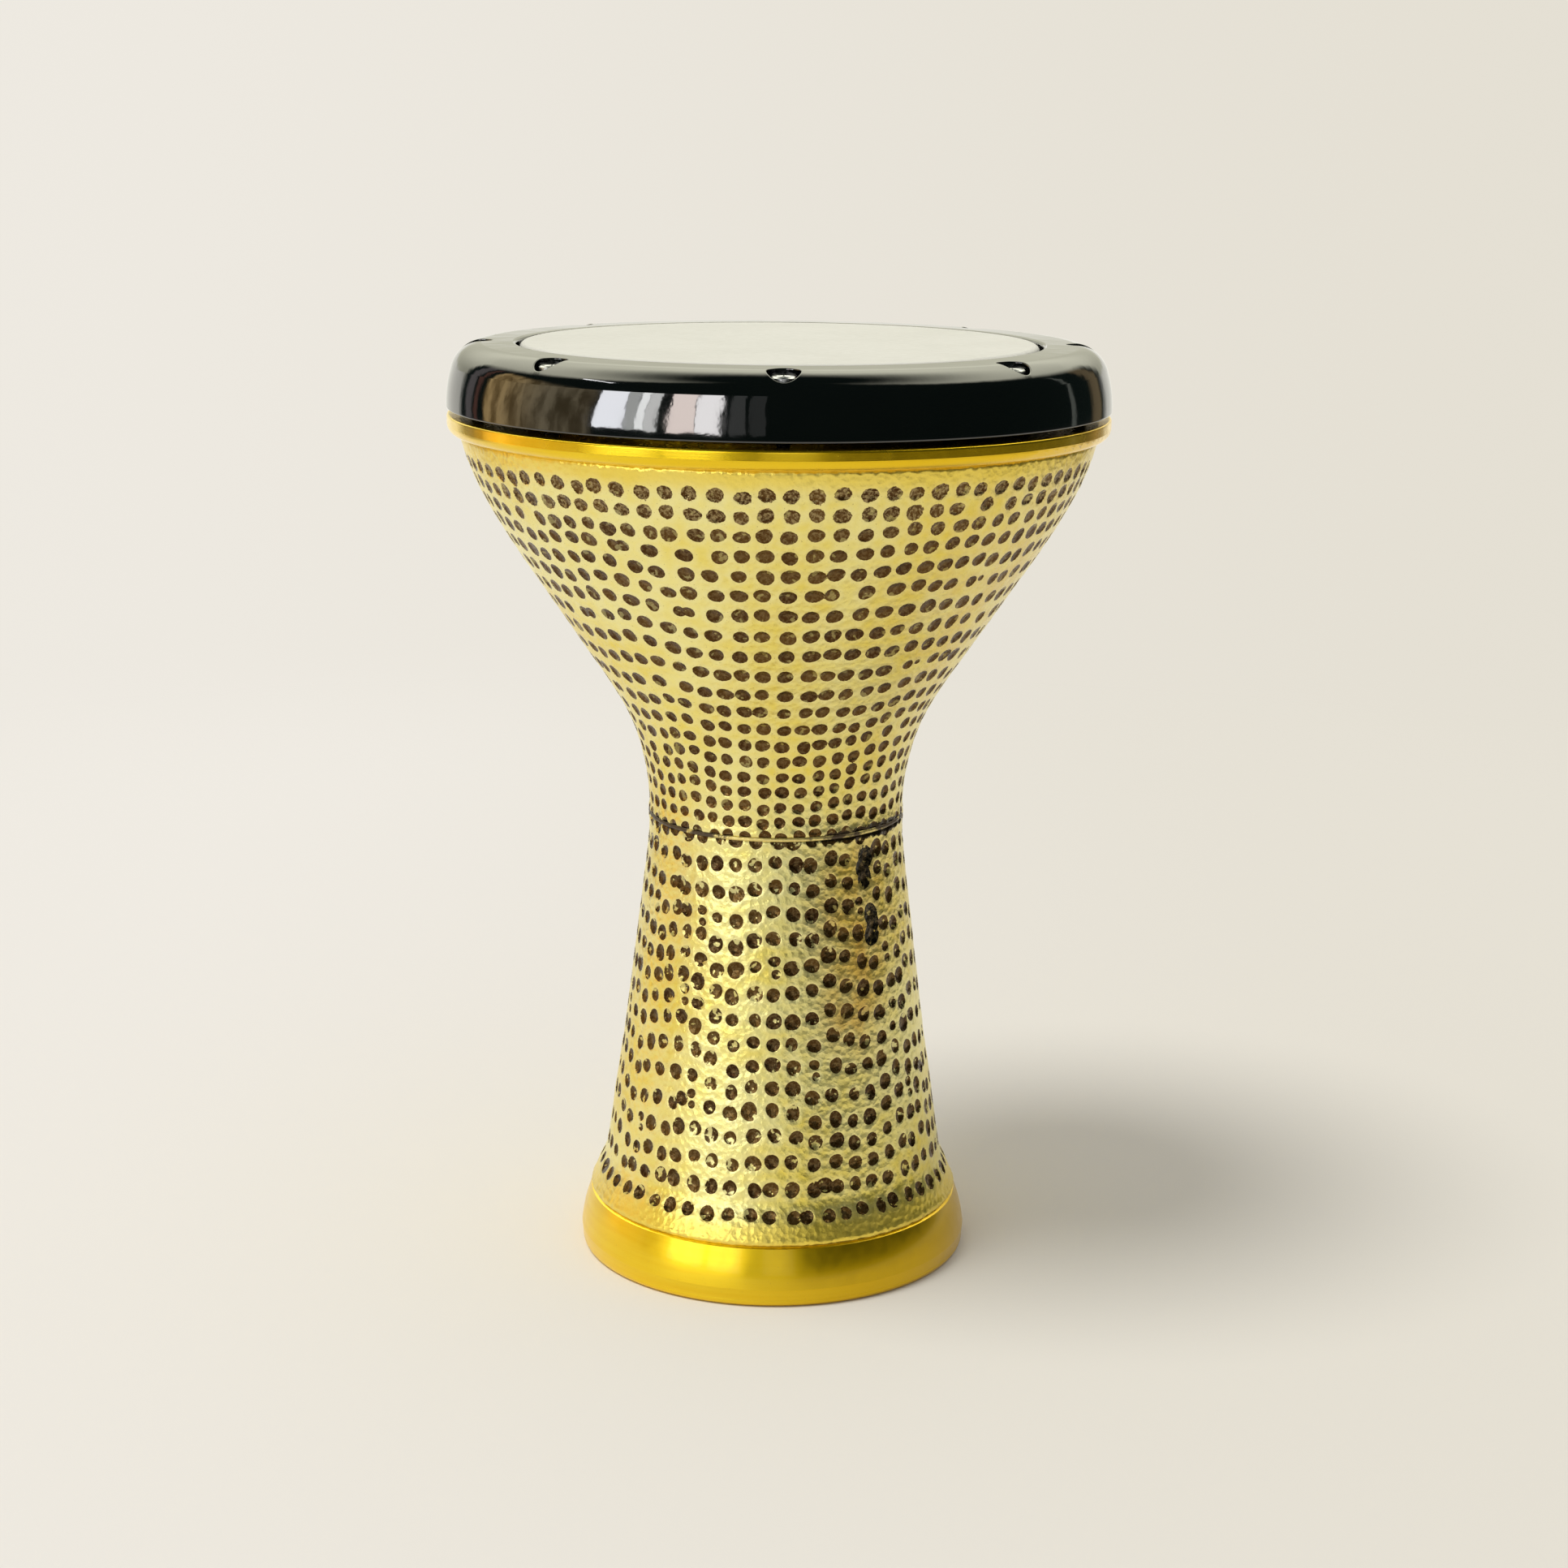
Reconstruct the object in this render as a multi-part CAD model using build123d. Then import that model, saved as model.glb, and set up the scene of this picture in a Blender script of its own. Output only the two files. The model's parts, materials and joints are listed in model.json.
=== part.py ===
from build123d import *
import math
import os

os.makedirs("parts", exist_ok=True)

# Goblet drum (darbuka).  Millimetres, +Z up, origin at the centre of the foot's resting face.
# Sections are drawn in the XZ plane with x as the radius and are revolved about Z.

# Overall stations up the drum
FOOT_TOP_Z = 25.5          # groove between the foot ring and the stem's flare
NECK_Z = 197.0             # waist, where the stem meets the bowl
COLLAR_BOTTOM_Z = 361.5    # bowl's top edge, under the collar
COLLAR_TOP_Z = 369.9
RIM_BOTTOM_Z = 372.4
RIM_TOP_Z = 399.2

# Shells
WALL = 2.6
NECK_R = 55.0
BOWL_TOP_R = 134.5
BOWL_OUTLINE = (
    (NECK_R, NECK_Z), (56.6, 217.0), (63.4, 239.5), (80.0, 267.0), (100.3, 297.0),
    (113.6, 317.0), (125.3, 337.0), (BOWL_TOP_R, COLLAR_BOTTOM_Z),
)
STEM_OUTLINE = (
    (75.0, 40.5), (73.6, 48.0), (70.1, 72.0), (66.3, 97.0), (63.1, 122.0),
    (60.0, 147.0), (57.5, 167.0), (55.8, 182.0), (NECK_R, NECK_Z),
)
FLARE_BOTTOM_R = 81.0
FLARE_MID = (79.4, 31.0)
NECK_SEAM = 0.9            # depth and half height of the filled V seam at the waist

# Foot ring
FOOT_R = 85.7
FOOT_WIDEST_Z = 8.0
FOOT_BEAD_Z = 3.2
FOOT_BOTTOM_R = 83.0
FOOT_BORE_R = 73.0
FOOT_SHOULDER_R = 77.6     # inner edge of the face the stem stands on

# Collar, with the tube that carries the drumhead
COLLAR_R = 139.8
COLLAR_LIP_R = 135.2
COLLAR_EDGE_R = 1.1        # rounding of the collar's top edge
COLLAR_ROLL = 4.1          # from the collar's top down to where its side starts to roll under
COLLAR_WEB_R = 117.0       # inside of the thick, tapped part
COLLAR_DECK_Z = 364.9      # underside of the thin part between the web and the tube
TUBE_R = 105.4
TUBE_WALL = 3.0
TUBE_TOP_Z = 399.0
TUBE_CREST_R = 2.4
TUBE_ROOT_R = 2.0          # fillet between the collar's top and the tube

# Drumhead
HEAD_Z = 399.3             # playing surface
FILM = 0.3
FILM_FLAT_R = 106.3
FILM_BEND_R = 2.8
FILM_END_Z = 386.5
HOOP_IN_R = 106.4
HOOP_OUT_R = 115.4
HOOP_WALL = 1.2
HOOP_BOTTOM_Z = 384.0
HOOP_IN_TOP_Z = 390.0
HOOP_OUT_TOP_Z = 391.0
RESIN_TOP_Z = 389.3

# Tension rim
RIM_R = 140.0
RIM_SHOULDER_R = 13.0
RIM_SHOULDER_X = 125.0
RIM_SHOULDER_Z = 386.0
RIM_EDGE_R = 0.9
RIM_BORE_R = 117.0
RIM_LIP_R = 110.4
RIM_CROWN_R = 1.6          # rounding between the lip and the rim's top
RIM_LIP_UNDER_Z = 391.05
POCKET_IN_R = 120.4
POCKET_OUT_R = 134.4
POCKET_TOP_Z = 388.0
BOSS_R = 9.4

# Tension screws, M6 x 30 socket head, with washers
SCREWS = 8
SCREW_CIRCLE_R = 127.3
COUNTERBORE_R = 6.6
COUNTERBORE_EDGE_R = 0.5
SEAT_Z = 389.0
CLEARANCE_R = 3.3
TAPPED_R = 3.05
WASHER_R = 6.0
WASHER_BORE_R = 3.2
WASHER_T = 1.6
HEAD_R = 5.0
HEAD_H = 6.0
HEAD_CHAMFER = 0.6
SHANK_R = 3.0
SHANK_L = 30.0
KEY_ACROSS_FLATS = 5.0
KEY_DEPTH = 3.0


def at(point):
    """A section point (radius, height) as a vector in the XZ plane."""
    return Vector(point[0], 0, point[1])


def quarter(centre, radius, right, up):
    """The point halfway round a quarter circle, on the side that right and up (1 or -1) say."""
    side = radius * math.sqrt(0.5)
    return (centre[0] + right * side, centre[1] + up * side)


def path(*points):
    """Straight edges through section points."""
    return [Line(at(a), at(b)) for a, b in zip(points, points[1:])]


def curve(points):
    """A smooth edge through section points."""
    return Spline(*[at(p) for p in points])


def arc(start, middle, end):
    return ThreePointArc(at(start), at(middle), at(end))


def on_circle(centre, radius, degrees):
    """A section point at an angle up from the outward direction."""
    turn = math.radians(degrees)
    return (centre[0] + radius * math.cos(turn), centre[1] + radius * math.sin(turn))


def turned(*edges):
    """The solid of revolution of a closed section about Z."""
    return revolve(make_face(Wire(edges)), Axis.Z)


def inside_of(outline, wall):
    """The outline moved inwards by the wall, square to the outline at each point."""
    moved = []
    for i, (r, z) in enumerate(outline):
        before = outline[max(i - 1, 0)]
        after = outline[min(i + 1, len(outline) - 1)]
        dr = after[0] - before[0]
        dz = after[1] - before[1]
        run = math.hypot(dr, dz)
        moved.append((r - wall * dz / run, z + wall * dr / run))
    return moved


def ring_of(cutter, radius=SCREW_CIRCLE_R):
    """Copies of a solid at every screw position; the first stands at the front, on -Y."""
    return [loc * cutter for loc in PolarLocations(radius, SCREWS, start_angle=-90)]


def post(radius, low, high):
    """A cylinder on the Z axis between two heights."""
    return Pos(0, 0, (low + high) / 2) * Cylinder(radius, high - low)


def bowl_shell():
    outer = list(BOWL_OUTLINE)
    inner = inside_of(outer, WALL)
    inner[0] = (NECK_R - WALL, NECK_Z)
    inner[-1] = (inner[-1][0], COLLAR_BOTTOM_Z)
    chamfered = (NECK_R - NECK_SEAM, NECK_Z)
    seam_top = (NECK_R + 0.02, NECK_Z + NECK_SEAM)
    outer[0] = seam_top
    return turned(
        *path(inner[0], chamfered, seam_top),
        curve(outer),
        *path(outer[-1], inner[-1]),
        curve(inner[::-1]),
    )


def stem_shell():
    outer = list(STEM_OUTLINE)
    inner = inside_of(outer, WALL)
    inner[-1] = (NECK_R - WALL, NECK_Z)
    outer[-1] = (NECK_R + 0.02, NECK_Z - NECK_SEAM)
    flare_end = (FLARE_BOTTOM_R, FOOT_TOP_Z + 0.6)
    flare_foot = (FLARE_BOTTOM_R - 0.7, FOOT_TOP_Z)
    inner_foot = (FLARE_BOTTOM_R - WALL - 0.6, FOOT_TOP_Z)
    inner_mid = (FLARE_MID[0] - WALL, FLARE_MID[1] + 0.9)
    return turned(
        curve(outer),
        *path(outer[-1], (NECK_R - NECK_SEAM, NECK_Z), inner[-1]),
        curve(inner[::-1]),
        arc(inner[0], inner_mid, inner_foot),
        *path(inner_foot, flare_foot, flare_end),
        arc(flare_end, FLARE_MID, outer[0]),
    )


def neck_weld_bead():
    """Filler that sits in the V between the two shells, a little proud of them."""
    top = (NECK_R + 0.02, NECK_Z + NECK_SEAM)
    bottom = (NECK_R + 0.02, NECK_Z - NECK_SEAM)
    return turned(
        *path(top, (NECK_R - NECK_SEAM, NECK_Z), bottom),
        arc(bottom, (NECK_R + 0.5, NECK_Z), top),
    )


def foot_ring():
    top_edge = (FLARE_BOTTOM_R + 0.3, FOOT_TOP_Z - 0.7)
    shoulder = (FOOT_SHOULDER_R, FOOT_TOP_Z)
    widest = (FOOT_R, FOOT_WIDEST_Z)
    bead = (FOOT_R - 0.5, FOOT_BEAD_Z)
    return turned(
        *path((FOOT_BORE_R, 0.8), (FOOT_BORE_R, FOOT_TOP_Z - 4.0), shoulder),
        *path(shoulder, (FLARE_BOTTOM_R - 0.7, FOOT_TOP_Z), top_edge),
        arc(top_edge, (84.1, 16.5), widest),
        *path(widest, bead),
        arc(bead, (FOOT_R - 1.1, 0.9), (FOOT_BOTTOM_R, 0)),
        *path((FOOT_BOTTOM_R, 0), (FOOT_BORE_R + 0.8, 0), (FOOT_BORE_R, 0.8)),
    )


def collar_ring():
    tube_in = TUBE_R - TUBE_WALL
    crest_centre = (TUBE_R - TUBE_CREST_R, TUBE_TOP_Z - TUBE_CREST_R)
    crest_start = (TUBE_R, crest_centre[1])
    crest_end = (crest_centre[0], TUBE_TOP_Z)
    root_centre = (TUBE_R + TUBE_ROOT_R, COLLAR_TOP_Z + TUBE_ROOT_R)
    root_start = (root_centre[0], COLLAR_TOP_Z)
    root_end = (TUBE_R, root_centre[1])
    edge_centre = (COLLAR_R - COLLAR_EDGE_R, COLLAR_TOP_Z - COLLAR_EDGE_R)
    edge_start = (COLLAR_R, edge_centre[1])
    edge_end = (edge_centre[0], COLLAR_TOP_Z)
    rolled = (COLLAR_R, COLLAR_TOP_Z - COLLAR_ROLL)
    lip = (COLLAR_LIP_R, COLLAR_BOTTOM_Z)
    body = turned(
        *path(rolled, edge_start),
        arc(edge_start, quarter(edge_centre, COLLAR_EDGE_R, 1, 1), edge_end),
        *path(edge_end, root_start),
        arc(root_start, quarter(root_centre, TUBE_ROOT_R, -1, -1), root_end),
        *path(root_end, crest_start),
        arc(crest_start, quarter(crest_centre, TUBE_CREST_R, 1, 1), crest_end),
        *path(crest_end, (tube_in, TUBE_TOP_Z - 0.6), (tube_in, COLLAR_DECK_Z)),
        *path((tube_in, COLLAR_DECK_Z), (COLLAR_WEB_R - 2.0, COLLAR_DECK_Z)),
        *path((COLLAR_WEB_R - 2.0, COLLAR_DECK_Z), (COLLAR_WEB_R, COLLAR_BOTTOM_Z), lip),
        arc(lip, (COLLAR_R - 1.1, COLLAR_BOTTOM_Z + 1.7), rolled),
    )
    holes = ring_of(post(TAPPED_R, COLLAR_BOTTOM_Z - 1, COLLAR_TOP_Z + 1))
    return body - holes


def drumhead_film():
    bend_centre = (FILM_FLAT_R, HEAD_Z - FILM_BEND_R)
    inner_bend = FILM_BEND_R - FILM
    skirt_r = FILM_FLAT_R + FILM_BEND_R
    outer_start = (FILM_FLAT_R, HEAD_Z)
    outer_end = (skirt_r, bend_centre[1])
    inner_start = (skirt_r - FILM, bend_centre[1])
    inner_end = (FILM_FLAT_R, HEAD_Z - FILM)
    return turned(
        *path((0, HEAD_Z), outer_start),
        arc(outer_start, quarter(bend_centre, FILM_BEND_R, 1, 1), outer_end),
        *path(outer_end, (skirt_r, FILM_END_Z), (skirt_r - FILM, FILM_END_Z), inner_start),
        arc(inner_start, quarter(bend_centre, inner_bend, 1, 1), inner_end),
        *path(inner_end, (0, HEAD_Z - FILM), (0, HEAD_Z)),
    )


def drumhead_hoop():
    """Channel ring, open upwards, with a folded outer wall that the rim presses on."""
    floor = HOOP_BOTTOM_Z + HOOP_WALL
    return turned(
        *path(
            (HOOP_IN_R, HOOP_BOTTOM_Z), (HOOP_OUT_R, HOOP_BOTTOM_Z), (HOOP_OUT_R, HOOP_OUT_TOP_Z),
            (HOOP_OUT_R - HOOP_WALL, HOOP_OUT_TOP_Z), (HOOP_OUT_R - HOOP_WALL, floor),
            (HOOP_IN_R + HOOP_WALL, floor), (HOOP_IN_R + HOOP_WALL, HOOP_IN_TOP_Z),
            (HOOP_IN_R, HOOP_IN_TOP_Z), (HOOP_IN_R, HOOP_BOTTOM_Z),
        )
    )


def drumhead_resin():
    """Resin that fills the channel and holds the film's skirt."""
    low = HOOP_BOTTOM_Z + HOOP_WALL
    left = HOOP_IN_R + HOOP_WALL
    right = HOOP_OUT_R - HOOP_WALL
    skirt_r = FILM_FLAT_R + FILM_BEND_R
    return turned(
        *path(
            (left, low), (right, low), (right, RESIN_TOP_Z), (skirt_r, RESIN_TOP_Z),
            (skirt_r, FILM_END_Z), (skirt_r - FILM, FILM_END_Z), (skirt_r - FILM, RESIN_TOP_Z),
            (left, RESIN_TOP_Z), (left, low),
        )
    )


def tension_rim():
    """The side is one wide arc, upright at the bottom edge, that runs smoothly into the shoulder's arc."""
    shoulder_centre = (RIM_SHOULDER_X, RIM_SHOULDER_Z)
    shoulder_top = (RIM_SHOULDER_X, RIM_SHOULDER_Z + RIM_SHOULDER_R)
    edge_centre = (RIM_R - RIM_EDGE_R, RIM_BOTTOM_Z + RIM_EDGE_R)
    edge_start = (edge_centre[0], RIM_BOTTOM_Z)
    edge_end = (RIM_R, edge_centre[1])
    bore_start = (RIM_BORE_R, RIM_BOTTOM_Z + 0.6)
    out, up = RIM_R - RIM_SHOULDER_X, RIM_SHOULDER_Z - edge_end[1]
    side_r = (out**2 + up**2 - RIM_SHOULDER_R**2) / (2 * (out - RIM_SHOULDER_R))
    side_centre = (RIM_R - side_r, edge_end[1])
    lean = math.degrees(math.atan2(up, side_r - out))
    side_end = on_circle(side_centre, side_r, lean)
    crown = (RIM_LIP_R + RIM_CROWN_R, RIM_TOP_Z)
    crown_centre = (crown[0], RIM_TOP_Z - RIM_CROWN_R)
    lip_end = (RIM_LIP_R, crown_centre[1])
    body = turned(
        *path(bore_start, (RIM_BORE_R + 0.6, RIM_BOTTOM_Z), edge_start),
        arc(edge_start, quarter(edge_centre, RIM_EDGE_R, 1, -1), edge_end),
        arc(edge_end, on_circle(side_centre, side_r, lean / 2), side_end),
        arc(side_end, on_circle(shoulder_centre, RIM_SHOULDER_R, (lean + 90) / 2), shoulder_top),
        *path(shoulder_top, crown),
        arc(crown, quarter(crown_centre, RIM_CROWN_R, -1, 1), lip_end),
        *path(lip_end, (RIM_LIP_R, RIM_LIP_UNDER_Z + 0.5), (RIM_LIP_R + 0.5, RIM_LIP_UNDER_Z)),
        *path((RIM_LIP_R + 0.5, RIM_LIP_UNDER_Z), (RIM_BORE_R, RIM_LIP_UNDER_Z), bore_start),
    )
    pocket = post(POCKET_OUT_R, RIM_BOTTOM_Z - 1, POCKET_TOP_Z)
    pocket -= post(POCKET_IN_R, RIM_BOTTOM_Z - 2, POCKET_TOP_Z + 1)
    for boss in ring_of(post(BOSS_R, RIM_BOTTOM_Z - 2, POCKET_TOP_Z + 1)):
        pocket -= boss
    counterbores = ring_of(post(COUNTERBORE_R, SEAT_Z, RIM_TOP_Z + 5))
    holes = ring_of(post(CLEARANCE_R, RIM_BOTTOM_Z - 1, SEAT_Z + 1))
    rim = body - pocket - counterbores - holes
    above_seats = rim.edges().filter_by_position(Axis.Z, SEAT_Z + 1, RIM_TOP_Z)
    mouths = above_seats.filter_by(GeomType.BSPLINE)
    return fillet(mouths, COUNTERBORE_EDGE_R)


def screw_washer():
    top = SEAT_Z + WASHER_T
    return post(WASHER_R, SEAT_Z, top) - post(WASHER_BORE_R, SEAT_Z - 1, top + 1)


def tension_screw():
    """Socket head cap screw, its axis on Z, at the height it has in the rim."""
    under = SEAT_Z + WASHER_T
    top = under + HEAD_H
    tip = under - SHANK_L
    body = turned(
        *path(
            (0, tip), (SHANK_R - 0.8, tip), (SHANK_R, tip + 0.8), (SHANK_R, under),
            (HEAD_R, under), (HEAD_R, top - HEAD_CHAMFER), (HEAD_R - HEAD_CHAMFER, top),
            (0, top), (0, tip),
        )
    )
    hexagon = RegularPolygon(KEY_ACROSS_FLATS / 2, 6, major_radius=False)
    socket = Pos(0, 0, top - KEY_DEPTH) * extrude(hexagon, KEY_DEPTH + 1)
    drill_point = Pos(0, 0, top - KEY_DEPTH - 0.5) * Cone(0.6, KEY_ACROSS_FLATS / 2 - 0.1, 1.0)
    return body - socket - drill_point


def save(node, shape):
    export_step(shape.solids()[0], f"parts/{node}.step")


save("bowl_shell", bowl_shell())
save("stem_shell", stem_shell())
save("neck_weld_bead", neck_weld_bead())
save("foot_ring", foot_ring())
save("collar_ring", collar_ring())
save("drumhead_film", drumhead_film())
save("drumhead_hoop", drumhead_hoop())
save("drumhead_resin", drumhead_resin())
save("tension_rim", tension_rim())
for number, screw in enumerate(ring_of(tension_screw()), start=1):
    save(f"tension_screw_{number}", screw)
for number, washer in enumerate(ring_of(screw_washer()), start=1):
    save(f"screw_washer_{number}", washer)
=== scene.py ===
import json
import math
import random

import bpy
import numpy as np
from mathutils import Matrix, Vector, noise
from mathutils.geometry import delaunay_2d_cdt

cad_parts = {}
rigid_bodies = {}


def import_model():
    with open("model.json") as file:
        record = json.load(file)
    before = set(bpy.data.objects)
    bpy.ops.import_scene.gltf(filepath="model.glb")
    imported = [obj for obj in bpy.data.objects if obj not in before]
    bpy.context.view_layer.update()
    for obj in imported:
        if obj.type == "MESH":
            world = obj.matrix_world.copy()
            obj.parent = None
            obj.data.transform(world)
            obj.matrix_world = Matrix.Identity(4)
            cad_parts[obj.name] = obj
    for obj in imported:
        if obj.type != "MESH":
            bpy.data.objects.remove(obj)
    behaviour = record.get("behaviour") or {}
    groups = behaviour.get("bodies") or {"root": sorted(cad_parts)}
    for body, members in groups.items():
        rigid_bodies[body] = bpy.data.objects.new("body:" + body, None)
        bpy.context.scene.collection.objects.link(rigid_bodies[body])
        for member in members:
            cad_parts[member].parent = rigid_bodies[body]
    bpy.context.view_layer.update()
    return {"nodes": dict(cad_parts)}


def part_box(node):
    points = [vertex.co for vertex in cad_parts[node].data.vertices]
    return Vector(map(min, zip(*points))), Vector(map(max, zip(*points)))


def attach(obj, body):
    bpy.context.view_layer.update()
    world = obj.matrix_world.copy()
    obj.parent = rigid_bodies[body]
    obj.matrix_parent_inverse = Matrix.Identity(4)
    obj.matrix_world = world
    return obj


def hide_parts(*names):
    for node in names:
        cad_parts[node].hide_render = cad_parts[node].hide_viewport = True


MM = 0.001
TURN = 2 * math.pi
SEED = 7

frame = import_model()
chance = random.Random(SEED)

NECK_Z, NECK_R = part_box("bowl_shell")[0][2], 55 * MM
SCREW_SEAT_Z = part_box("screw_washer_1")[0][2]


# ---------------------------------------------------------------- outlines read from the frame

# The least share of a wall's normal that points straight away from the axis, or towards it.
WALL_FACING = 0.3
OUTLINE_POINTS = 1500


def facing_outline(node, facing):
    """Heights and radii up the wall of a turned node that faces outwards (1) or inwards (-1)."""
    mesh = frame["nodes"][node].data
    radius_at = {}
    for polygon in mesh.polygons:
        centre, normal = polygon.center, polygon.normal
        radial = (normal.x * centre.x + normal.y * centre.y) / math.hypot(centre.x, centre.y)
        if radial * facing < WALL_FACING:
            continue
        for index in polygon.vertices:
            x, y, z = mesh.vertices[index].co
            radius_at[round(z, 5)] = math.hypot(x, y)
    heights = np.array(sorted(radius_at))
    return heights, np.array([radius_at[z] for z in heights])


def smoothed(heights, radii, count):
    """The same outline at evenly spaced heights, on a cubic through the given points."""
    slope = np.gradient(radii, heights)
    z = np.linspace(heights[0], heights[-1], count)
    i = np.clip(np.searchsorted(heights, z) - 1, 0, len(heights) - 2)
    step = heights[i + 1] - heights[i]
    t = (z - heights[i]) / step
    r = (
        (2 * t**3 - 3 * t**2 + 1) * radii[i]
        + (t**3 - 2 * t**2 + t) * step * slope[i]
        + (3 * t**2 - 2 * t**3) * radii[i + 1]
        + (t**3 - t**2) * step * slope[i + 1]
    )
    return z, r


class Wall:
    """A turned wall as a sheet: s runs up its outline, and w is s unrolled so that circles stay circles."""

    def __init__(self, node):
        self.z, self.r = smoothed(*facing_outline(node, 1), OUTLINE_POINTS)
        dz, dr = np.diff(self.z), np.diff(self.r)
        ds = np.hypot(dz, dr)
        self.s = np.concatenate([[0], np.cumsum(ds)])
        self.w = np.concatenate([[0], np.cumsum(2 * ds / (self.r[1:] + self.r[:-1]))])
        out_r, out_z = np.gradient(self.z, self.s), -np.gradient(self.r, self.s)
        size = np.hypot(out_r, out_z)
        self.out_r, self.out_z = out_r / size, out_z / size
        self.length = self.s[-1]

    def radius(self, s):
        return np.interp(s, self.s, self.r)

    def s_at_height(self, z):
        return float(np.interp(z, self.z, self.s))

    def points(self, angle, s, lift):
        """Points at an angle from the front, a distance s up the wall, lifted off it along its normal."""
        r = self.radius(s) + lift * np.interp(s, self.s, self.out_r)
        z = np.interp(s, self.s, self.z) + lift * np.interp(s, self.s, self.out_z)
        return np.stack([r * np.sin(angle), -r * np.cos(angle), z], 1)


# ---------------------------------------------------------------- hammer marks

BOWL_FRONT, BOWL_TOP_ROW_Z, BOWL_END_GAP = math.radians(1.6), 351.6 * MM, 1.2 * MM
BOWL_RADII = np.array([55, 62, 85, 110, 132]) * MM
BOWL_COLUMN_PITCH = np.array([7.3, 8.2, 9.5, 10.0, 10.0]) * MM
BOWL_ROW_PITCH = np.array([6.2, 7.9, 11.3, 11.0, 9.0]) * MM
BOWL_MARK_SIZE = np.array([2.6, 2.9, 3.4, 3.5, 3.3]) * MM

STEM_FRONT, STEM_COLUMNS = math.radians(-1.0), 43
STEM_TOP_GAP, STEM_LOW_ROW_Z, STEM_ROW_PITCH = 1.5 * MM, 37.5 * MM, 10.6 * MM
STEM_RADII = np.array([55, 77]) * MM
STEM_COLUMN_PITCH = np.array([8.0, 9.1]) * MM
STEM_MARK_SIZE = 3.2 * MM

# Where a run of the stem's marks is filled with black: degrees round from the front, and height.
BLACK_BLOTCHES = ((42, 182 * MM), (44, 157 * MM))
BLOTCH_STEP, BLACK_TONE = 4.4 * MM, -1.0
# How near to a blotch's middle an ordinary mark's middle may come, across it and up it.
BLOTCH_CLEAR_ACROSS, BLOTCH_CLEAR_UP = 6.2 * MM, 11 * MM


class Marks:
    """Hammer marks, a row for each: angle, s, half width, half height, depth, tone and two phases."""

    def __init__(self):
        self.rows = []

    def add(self, angle, s, half_width, half_height, depth, tone=None):
        tone = chance.random() if tone is None else tone
        phases = chance.uniform(0, TURN), chance.uniform(0, TURN)
        self.rows.append((angle % TURN, s, half_width, half_height, depth, tone, *phases))

    def table(self):
        return np.array(self.rows)


class Columns:
    """Columns of marks round a wall, each with an angle and an offset. The first few stay at the front."""

    def __init__(self, front, count, held):
        self.front, self.held = front, held
        self.angles = [front + TURN * (k - held // 2) / count for k in range(count)]
        self.offsets = [chance.gauss(0, 1) for _ in range(count)]

    def hold(self, spacing):
        for k in range(self.held):
            self.angles[k] = self.front + (k - self.held // 2) * spacing

    def free_gaps(self):
        """Gaps well clear of the held columns, each shaken so that the choice among them is uneven."""
        free = range(self.held + 1, len(self.angles) - 3)
        return {k: (self.angles[k + 1] - self.angles[k]) * chance.uniform(0.7, 1.3) for k in free}

    def thin_out(self, wanted):
        """Joins pairs of neighbouring columns until the wanted number is left, and says at which angles."""
        joined = []
        while len(self.angles) > wanted:
            gaps = self.free_gaps()
            k = min(gaps, key=gaps.get)
            self.angles[k] = (self.angles[k] + self.angles.pop(k + 1)) / 2
            self.offsets.pop(k + 1)
            joined.append(self.angles[k])
        return joined

    def fill_in(self, wanted):
        """Starts new columns in the widest gaps until the wanted number is there."""
        while len(self.angles) < wanted:
            gaps = self.free_gaps()
            k = max(gaps, key=gaps.get)
            self.angles.insert(k + 1, (self.angles[k] + self.angles[k + 1]) / 2)
            self.offsets.insert(k + 1, chance.gauss(0, 1))

    def settle(self, rounds):
        """Evens out the gaps between neighbouring columns, and keeps the held ones where they are."""
        for _ in range(rounds):
            angles = np.array(self.angles)
            before, after = np.roll(angles, 1), np.roll(angles, -1)
            before[0] -= TURN
            after[-1] += TURN
            moved = angles + 0.5 * ((before + after) / 2 - angles)
            moved[: self.held] = angles[: self.held]
            self.angles = list(moved)


def bowl_drift(angle, s, ease):
    """How far up a mark sits from its row: not at all at the front, and in slow waves round the sides."""
    beside = min(1, abs(math.sin(angle / 2)) * 3)
    place = Vector((2.6 * math.sin(angle), 2.6 * math.cos(angle), s / 0.07))
    return ease * beside * (3.0 * MM * beside + 4.2 * MM * noise.noise(place))


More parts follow.
